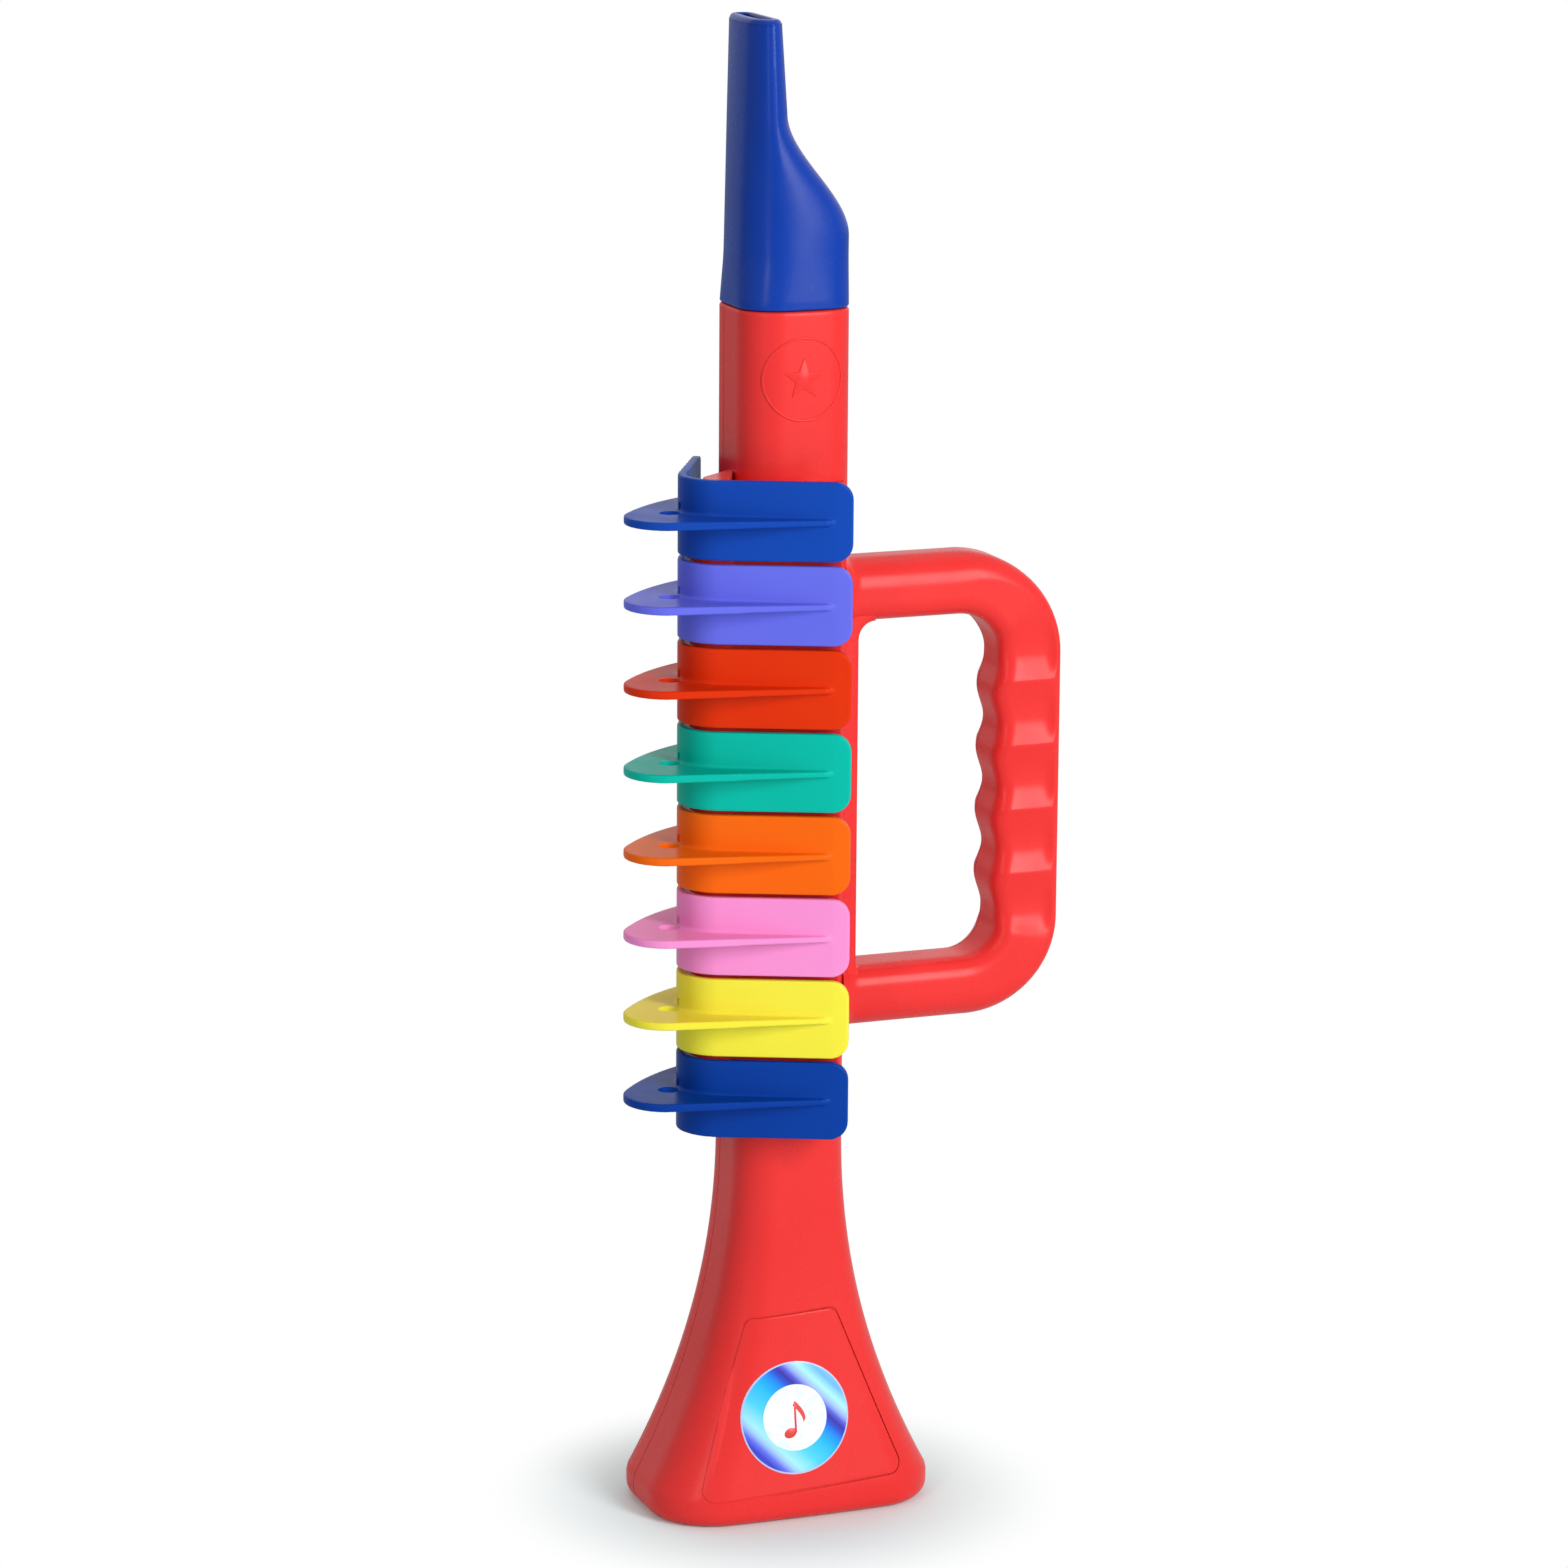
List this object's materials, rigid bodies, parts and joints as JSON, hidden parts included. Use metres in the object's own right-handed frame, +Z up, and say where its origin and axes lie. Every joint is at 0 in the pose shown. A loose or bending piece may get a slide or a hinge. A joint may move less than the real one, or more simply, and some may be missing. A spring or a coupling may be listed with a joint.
{
  "type": "toy trumpet",
  "caption": "Red plastic toy trumpet with coloured finger keys, a blue mouthpiece, a D-shaped hand grip and a flared bell that it stands on.",
  "frame": {"origin": "middle of the whole part's box, at the bell's rim that it stands on", "axes": "+Z up along the bore to the mouthpiece; +X to the hand grip, with the finger tabs at -X; -Y is the front with the key plates and the label"},
  "size_m": [0.1302, 0.0582, 0.42],
  "materials": {
    "red_body": "satin-gloss moulded ABS",
    "blue_mouthpiece": "satin-gloss moulded ABS",
    "key_blue": "glossy moulded plastic",
    "key_violet": "glossy moulded plastic",
    "key_red": "glossy moulded plastic",
    "key_green": "glossy moulded plastic",
    "key_orange": "glossy moulded plastic",
    "key_pink": "glossy moulded plastic",
    "key_yellow": "glossy moulded plastic",
    "key_deep_blue": "glossy moulded plastic",
    "foil_label": "printed foil disc, shiny",
    "steel": "drawn wire",
    "pad_rubber": "soft matt",
    "reed_plate_plastic": "moulded",
    "reed_brass": "rolled strip"
  },
  "bodies": {
    "root": {"front_shell": "red_body", "back_shell": "red_body", "mouthpiece": "blue_mouthpiece", "label_disc": "foil_label", "key_hinge_rod": "steel", "reed_plate": "reed_plate_plastic", "key_spring_1": "steel", "key_spring_2": "steel", "key_spring_3": "steel", "key_spring_4": "steel", "key_spring_5": "steel", "key_spring_6": "steel", "key_spring_7": "steel", "key_spring_8": "steel", "reed_1": "reed_brass", "reed_2": "reed_brass", "reed_3": "reed_brass", "reed_4": "reed_brass", "reed_5": "reed_brass", "reed_6": "reed_brass", "reed_7": "reed_brass", "reed_8": "reed_brass"},
    "key_1_body": {"key_1": "key_blue", "key_pad_1": "pad_rubber"},
    "key_2_body": {"key_2": "key_violet", "key_pad_2": "pad_rubber"},
    "key_3_body": {"key_3": "key_red", "key_pad_3": "pad_rubber"},
    "key_4_body": {"key_4": "key_green", "key_pad_4": "pad_rubber"},
    "key_5_body": {"key_5": "key_orange", "key_pad_5": "pad_rubber"},
    "key_6_body": {"key_6": "key_pink", "key_pad_6": "pad_rubber"},
    "key_7_body": {"key_7": "key_yellow", "key_pad_7": "pad_rubber"},
    "key_8_body": {"key_8": "key_deep_blue", "key_pad_8": "pad_rubber"}
  },
  "joints": [
    {"name": "key_1_hinge", "type": "hinge", "parent": "root", "child": "key_1_body", "pos_m": [-0.03704, -0.00835, 0.286], "axis": [0, 0, 1], "range_deg": [-7, 0], "stiffness_Nm_per_rad": 0.02, "springref_deg": 9.74},
    {"name": "key_2_hinge", "type": "hinge", "parent": "root", "child": "key_2_body", "pos_m": [-0.03704, -0.00835, 0.2628], "axis": [0, 0, 1], "range_deg": [-7, 0], "stiffness_Nm_per_rad": 0.02, "springref_deg": 9.74},
    {"name": "key_3_hinge", "type": "hinge", "parent": "root", "child": "key_3_body", "pos_m": [-0.03704, -0.00835, 0.2396], "axis": [0, 0, 1], "range_deg": [-7, 0], "stiffness_Nm_per_rad": 0.02, "springref_deg": 9.74},
    {"name": "key_4_hinge", "type": "hinge", "parent": "root", "child": "key_4_body", "pos_m": [-0.03704, -0.00835, 0.2164], "axis": [0, 0, 1], "range_deg": [-7, 0], "stiffness_Nm_per_rad": 0.02, "springref_deg": 9.74},
    {"name": "key_5_hinge", "type": "hinge", "parent": "root", "child": "key_5_body", "pos_m": [-0.03704, -0.00835, 0.1932], "axis": [0, 0, 1], "range_deg": [-7, 0], "stiffness_Nm_per_rad": 0.02, "springref_deg": 9.74},
    {"name": "key_6_hinge", "type": "hinge", "parent": "root", "child": "key_6_body", "pos_m": [-0.03704, -0.00835, 0.17], "axis": [0, 0, 1], "range_deg": [-7, 0], "stiffness_Nm_per_rad": 0.02, "springref_deg": 9.74},
    {"name": "key_7_hinge", "type": "hinge", "parent": "root", "child": "key_7_body", "pos_m": [-0.03704, -0.00835, 0.1468], "axis": [0, 0, 1], "range_deg": [-7, 0], "stiffness_Nm_per_rad": 0.02, "springref_deg": 9.74},
    {"name": "key_8_hinge", "type": "hinge", "parent": "root", "child": "key_8_body", "pos_m": [-0.03704, -0.00835, 0.1236], "axis": [0, 0, 1], "range_deg": [-7, 0], "stiffness_Nm_per_rad": 0.02, "springref_deg": 9.74}
  ]
}
